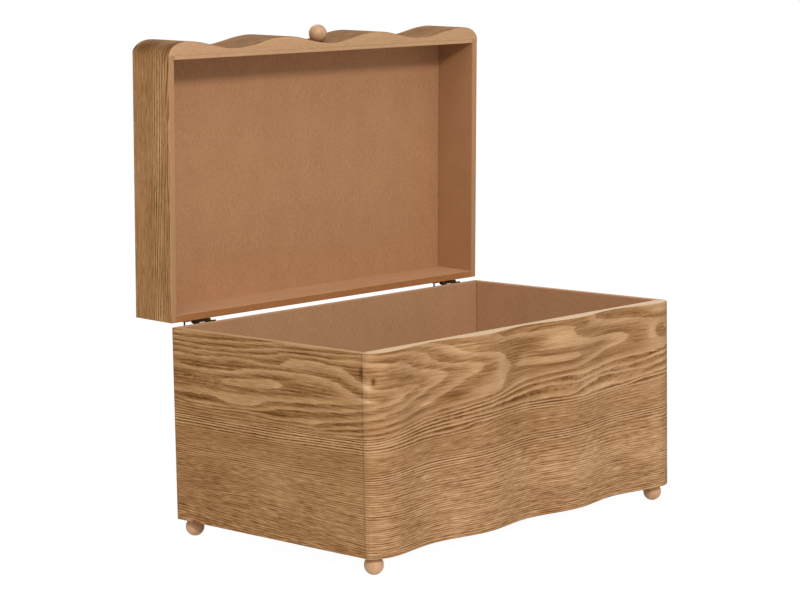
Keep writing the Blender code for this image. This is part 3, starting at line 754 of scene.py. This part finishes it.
# On the lid's top panel the sheet is folded along the centre line and falls to both edges
def panelFields(x, y):
    middle = -lid["behind"] - chest["jointDepth"] / 2
    height = panelSheet["height"] - panelSheet["fall"] * np.abs(y - middle)
    return sheetFields(x + panelSheet["middle"], height, panelSheet["side"])


# The lid's pieces are worked out closed, from the hinge axis, and then turned open about X.
def openLid(points):
    angle = -math.radians(lid["openAngle"])
    y = points[..., 1] * math.cos(angle) - points[..., 2] * math.sin(angle)
    z = points[..., 1] * math.sin(angle) + points[..., 2] * math.cos(angle)
    return np.stack([points[..., 0], y + lid["axisY"], z + lid["axisZ"]], -1)


# The chest's pieces are worked out where they stand
def asItIs(points):
    return points


boxes = {
    "chest": {"place": asItIs, "jointY": chest["backY"] - chest["jointDepth"],
              "backY": chest["backY"], "bottom": chest["underside"], "top": chest["rim"],
              "fields": chestFields, "rimOnTop": True},
    "lid": {"place": openLid, "jointY": -lid["behind"] - chest["jointDepth"],
            "backY": -lid["behind"], "bottom": lid["rim"],
            "top": lid["top"] - lid["panel"] - chest["seam"], "fields": lidFields,
            "rimOnTop": False},
}

# Lines round a rounded edge: easeIn is how far they lie from the end of the board, easeOut
# how far from its face, both as shares of the edge's radius
quarter = np.linspace(0, math.pi / 2, wave["arrisSteps"] + 1)
easeIn, easeOut = 1 - np.cos(quarter), 1 - np.sin(quarter)


# Evenly spaced values between two ends, with a few more where the edges are rounded.
def edgeLines(low, high, softLow, softHigh, step):
    count = max(2, int(round((high - low) / step)))
    middle = np.linspace(low + softLow, high - softHigh, count + 1)[1:-1]
    return np.concatenate([low + softLow * easeIn, middle, high - softHigh * easeOut])


# Front board: at each point of the front line a section runs up the face between two
# arrises, back along the top, down the flat inner face and forward along the bottom. Share
# is 1 on the face, 0 on the inner face and a half between them. The finishes are 0 for
# veneer, 1 for a rim and 2 for the inner face.
def serpentineBoard(body):
    box = boxes[body]
    arris = wave["arris"]
    faceZ = edgeLines(box["bottom"], box["top"], arris, arris, chest["step"])
    pull = np.zeros(len(faceZ))
    pull[:len(quarter)] = arris * easeOut
    pull[-len(quarter):] = arris * easeIn
    zeros = np.zeros(len(faceZ))
    z = np.concatenate([faceZ, [box["top"]], faceZ[::-1], [box["bottom"]]])
    share = np.concatenate([zeros + 1, [0.5], zeros, [0.5]])
    pull = np.concatenate([pull, [0], zeros, [0]])
    room = np.minimum(1, frontDepth[:, None] / (wave["arrisRoom"] * arris))
    reach = frontDepth[:, None] * share - room * pull
    reach[:, share == 0] -= (chest["seam"] - chest["joint"]) * room
    shape = reach.shape
    points = np.stack([np.broadcast_to(frontX[:, None], shape), box["jointY"] - reach,
                       np.broadcast_to(z, shape)], -1)
    u = np.broadcast_to(frontRun[:, None], shape)
    v = np.broadcast_to(z - box["bottom"], shape)
    slot = np.concatenate([zeros[1:], [1, 1], zeros[1:] + 2, [1, 1]])
    uv, fields = box["fields"](u, v)
    grid = {"points": box["place"](points), "closed": True, "slot": slot[None, :],
            "uv": uv, "fields": fields}
    pieceFromGrids(body + "_front", [grid], [veneer, rims[body], innerBoard], body,
                   [body + "_serpentine_front"])


# Board with rounded edges: every point of a box is pulled in to the box grown inward by the
# edge's radius and pushed out again by that radius. Six grids share their lines.
def roundedBoard(low, high, soft, step, slots):
    low, high = np.array(low), np.array(high)
    softLow, softHigh = np.array(soft[0]), np.array(soft[1])
    lines = [edgeLines(low[i], high[i], softLow[i], softHigh[i], step) for i in range(3)]
    grids = []
    for axis in range(3):
        first, second = [i for i in range(3) if i != axis]
        a, b = np.meshgrid(lines[first], lines[second], indexing="ij")
        for side, edge in enumerate((low[axis], high[axis])):
            points = np.empty(a.shape + (3,))
            points[..., axis], points[..., first], points[..., second] = edge, a, b
            core = np.clip(points, low + softLow, high - softHigh)
            radius = np.where(points < core, softLow, softHigh)
            away = (points - core) / radius
            length = np.linalg.norm(away, axis=-1, keepdims=True)
            grids.append({"points": core + radius * away / length, "slot": slots[axis][side]})
    return grids


# Side board: a rounded board whose outer face carries the sheet on from the end of the front.
# The finishes are 0 for veneer, 1 for a bare edge and 2 for the inner face.
def sideBoard(body, side):
    box, isLeft = boxes[body], side == "left"
    sign = -1 if isLeft else 1
    outer = sign * chest["halfWidth"]
    inner = sign * (chest["halfWidth"] - chest["sideThickness"])
    arris, joint = wave["arris"], chest["jointRound"]
    low = (min(outer, inner), box["jointY"] + chest["joint"], box["bottom"])
    high = (max(outer, inner), box["backY"], box["top"])
    soft = ((arris, joint, arris), (arris, arris, arris))
    slots = ((0, 2) if isLeft else (2, 0), (1, 1), (2, 1) if box["rimOnTop"] else (1, 2))
    grids = roundedBoard(low, high, soft, chest["step"], slots)
    for grid in grids:
        y, z = grid["points"][..., 1], grid["points"][..., 2]
        u = box["jointY"] - y if isLeft else frontRun[-1] + y - box["jointY"]
        v = z - box["bottom"]
        grid["uv"], grid["fields"] = box["fields"](u, v)
        grid["points"] = box["place"](grid["points"])
    pieceFromGrids(f"{body}_side_{side}_veneered", grids, [veneer, edges[body], walls[body]],
                   body, [f"{body}_side_{side}"])


# Top panel of the lid: its plan is filled by lines from the back edge to the front line, and
# the outer face falls by a quarter circle within one arris of the edge. The veneer of the
# sides runs on over its four edges.
def lidPanel():
    arris, step = wave["arris"], lid["panelStep"]
    back, top = -lid["behind"], lid["top"]
    x, depth, run = frontLine(step)
    full = chest["jointDepth"] + depth
    rows = edgeLines(0, 1, arris / chest["jointDepth"], arris / chest["jointDepth"],
                     step / chest["jointDepth"])
    y = back - full[:, None] * rows
    x = np.broadcast_to(x[:, None], y.shape)
    fromEdge = np.minimum(np.minimum(back - y, y - (back - full[:, None])),
                          chest["halfWidth"] - np.abs(x))
    inside = np.clip(fromEdge / arris, 0, 1)
    z = top - arris * (1 - np.sqrt(1 - (1 - inside) ** 2))
    outerFace = np.stack([x, y, z], -1)
    innerFace = np.stack([x, y, np.full(y.shape, top - lid["panel"])], -1)
    grids = [{"points": outerFace, "slot": 0}, {"points": innerFace, "slot": 1}]
    for grid in grids:
        grid["uv"], grid["fields"] = panelFields(x, y)
    joint = boxes["lid"]["jointY"]
    for pick, u in (((0, slice(None)), joint - y[0]),
                    ((-1, slice(None)), frontRun[-1] + y[-1] - joint),
                    ((slice(None), -1), run),
                    ((slice(None), 0), joint - back - chest["halfWidth"] - x[:, 0])):
        strip = np.stack([outerFace[pick], innerFace[pick]])
        uv, fields = lidFields(u, strip[..., 2] - lid["rim"])
        grids.append({"points": strip, "slot": 0, "uv": uv, "fields": fields})
    for grid in grids:
        grid["points"] = openLid(grid["points"])
    pieceFromGrids("lid_top", grids, [veneer, innerBoard], "lid", ["lid_top_panel"])


# Ball that the feet and the knob are turned from, and how a foot is cut and drilled
ball = {
    "radius": 0.016,
    "steps": 96,             # round the axis
    "rings": 64,
    "flat": 0.0005,          # sanded off under the ball
    "top": 0.0297,           # height of the flat top
    "studHole": 0.0028,      # radius
    "studHoleBottom": 0.0197,
}


# Turned piece, with no veneer: a profile of radius and height carried round its axis
def turnedGrid(radius, height, centre, axis):
    turn = np.linspace(0, 2 * math.pi, ball["steps"], endpoint=False)
    ring = np.array(radius)[:, None]
    across, beside = ring * np.cos(turn), ring * np.sin(turn)
    level = np.broadcast_to(np.array(height)[:, None], across.shape)
    parts = [across, beside, level] if axis == "z" else [across, level, beside]
    return {"points": np.stack(parts, -1) + np.array(centre), "closed": True,
            "uv": np.zeros(2), "fields": np.zeros(len(fieldNames))}


# Profile of a drilled ball: out along the bottom of the hole, up its wall, out over the flat
# cut and round the ball from there to the last height
def drilledBall(hole, holeBottom, cut, middle, last):
    turn = np.linspace(math.acos((cut - middle) / ball["radius"]),
                       math.acos((last - middle) / ball["radius"]), ball["rings"])
    radius = [0, hole, hole, *(ball["radius"] * np.sin(turn))]
    return radius, [holeBottom, holeBottom, cut, *(middle + ball["radius"] * np.cos(turn))]


# Foot: drilled from its flat top, and closed by the flat that it stands on
def feet():
    radius, height = drilledBall(ball["studHole"], ball["studHoleBottom"], ball["top"],
                                 ball["radius"] - ball["flat"], 0)
    for name in ("front_left", "front_right", "back_left", "back_right"):
        low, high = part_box("foot_" + name)
        place = ((low.x + high.x) / 2, (low.y + high.y) / 2, 0)
        grid = turnedGrid(radius + [0], height + [0], place, "z")
        pieceFromGrids("ball_foot_" + name, [grid], [beech], "chest", ["foot_" + name],
                       meshing["turnedAngle"])


knobSize = {
    "seatCut": 0.002,        # cut off the ball for its flat seat
    "seatGap": 0.0005,       # from the seat to the bottom of the trough
    "aboveRim": 0.036,
    "screwHole": 0.0022,     # radius
    "screwDepth": 0.0103,
}


# Knob: drilled from its flat seat in the middle trough, and round to its pole
def knob():
    seat = ball["radius"] - knobSize["seatCut"]
    trough = boxes["lid"]["jointY"] - (wave["crest"] - wave["depth"])
    centre = (0, trough - knobSize["seatGap"] - seat, lid["rim"] + knobSize["aboveRim"])
    profile = drilledBall(knobSize["screwHole"], seat - knobSize["screwDepth"], seat, 0,
                          -ball["radius"])
    grid = turnedGrid(*profile, centre, "y")
    grid["points"] = openLid(grid["points"])
    pieceFromGrids("ball_knob", [grid], [knobBeech], "lid", ["lid_knob"],
                   meshing["turnedAngle"])


for bodyName in boxes:
    print("boards of the " + bodyName)
    serpentineBoard(bodyName)
    sideBoard(bodyName, "left")
    sideBoard(bodyName, "right")

print("lid panel")
lidPanel()

print("feet and knob")
feet()
knob()


studio = {
    "floorSize": 40.0,
    "floorColour": srgb(235, 235, 235),
    "floorShown": 0.08,      # share of the floor's own shading in what the camera sees
    "floorLevel": 1.07,
    "worldLevel": 0.40,
    "aimHeight": 0.4,        # point above the origin that the lamps face
    # each lamp: azimuth from straight ahead of the front towards the left side, elevation,
    # distance, size and the level it gives on a white surface facing it
    "lamps": {
        "key": (30, 27.0, 8.0, 1.1, 0.58),
        "top": (50, 60, 5.0, 3.0, 0.40),
        "back": (205, 40, 5.0, 2.5, 0.20),
    },
}


# The given share for what the camera sees, straight, in a reflection or through glass, and
# nothing for light that falls on the scene
def whiteForCamera(tree, share):
    path = node(tree, "ShaderNodeLightPath").outputs
    seen = maths(tree, "MAXIMUM", maths(tree, "MAXIMUM", path["Is Camera Ray"],
                                        path["Is Glossy Ray"]),
                 path["Is Transmission Ray"])
    return maths(tree, "MULTIPLY", seen, share)


# Square floor, whose paint takes shadows and whose own glow makes it white for the camera
def addFloor():
    half = studio["floorSize"] / 2
    mesh = bpy.data.meshes.new("floor")
    mesh.from_pydata([(-half, -half, 0), (half, -half, 0), (half, half, 0), (-half, half, 0)],
                     [], [(0, 1, 2, 3)])
    floor = bpy.data.objects.new("floor", mesh)
    scene.collection.objects.link(floor)
    material = bpy.data.materials.new("paleFloor")
    material.use_nodes = True
    tree = material.node_tree
    tree.nodes.clear()
    paint = node(tree, "ShaderNodeBsdfDiffuse", {"Color": (*studio["floorColour"], 1)})
    glow = node(tree, "ShaderNodeEmission", {"Color": (1, 1, 1, 1),
                                             "Strength": studio["floorLevel"]})
    share = whiteForCamera(tree, 1 - studio["floorShown"])
    both = node(tree, "ShaderNodeMixShader", {0: share, 1: paint.outputs[0],
                                              2: glow.outputs[0]})
    node(tree, "ShaderNodeOutputMaterial", {"Surface": both.outputs[0]})
    mesh.materials.append(material)


# Even white surroundings, brighter for the camera than for the light they give
def addWorld():
    world = bpy.data.worlds.new("studioWorld")
    scene.world = world
    world.use_nodes = True
    tree = world.node_tree
    tree.nodes.clear()
    seen = whiteForCamera(tree, 1 - studio["worldLevel"])
    level = maths(tree, "ADD", seen, studio["worldLevel"])
    sky = node(tree, "ShaderNodeBackground", {"Color": (1, 1, 1, 1), "Strength": level})
    node(tree, "ShaderNodeOutputWorld", {"Surface": sky.outputs[0]})


# Square lamp that faces the aim point. Its power is the wanted level on a white surface
# times the square of pi and of the distance.
def addLamp(name, azimuth, elevation, distance, size, level):
    lamp = bpy.data.lights.new(name, "AREA")
    lamp.shape = "SQUARE"
    lamp.size = size
    lamp.energy = math.pi ** 2 * level * distance ** 2
    turn, rise = math.radians(azimuth), math.radians(elevation)
    holder = bpy.data.objects.new(name, lamp)
    way = Matrix.Rotation(-turn, 4, "Z") @ Matrix.Rotation(math.pi / 2 - rise, 4, "X")
    holder.matrix_world = (Matrix.Translation((0, 0, studio["aimHeight"])) @ way
                           @ Matrix.Translation((0, 0, distance)))
    scene.collection.objects.link(holder)


view = {
    "place": (-3.1567, -3.0083, 0.9837),
    "yaw": 0.8057,           # angles in radians
    "pitch": 0.138,
    "roll": -0.0167,
    "lens": 114.47,          # lens and sensor in millimetres
    "sensor": 36,
    "farthest": 100,         # metres
}


# Camera that stands at its place, turned right by yaw, down by pitch and round by roll
def addCamera():
    camera = bpy.data.objects.new("camera", bpy.data.cameras.new("camera"))
    camera.data.lens = view["lens"]
    camera.data.sensor_width = view["sensor"]
    camera.data.clip_end = view["farthest"]
    camera.matrix_world = (Matrix.Translation(view["place"])
                           @ Matrix.Rotation(-view["yaw"], 4, "Z")
                           @ Matrix.Rotation(math.pi / 2 - view["pitch"], 4, "X")
                           @ Matrix.Rotation(view["roll"], 4, "Z"))
    scene.collection.objects.link(camera)
    scene.camera = camera


print("studio")
addFloor()
addWorld()
for lampName, lampValues in studio["lamps"].items():
    addLamp(lampName, *lampValues)
addCamera()
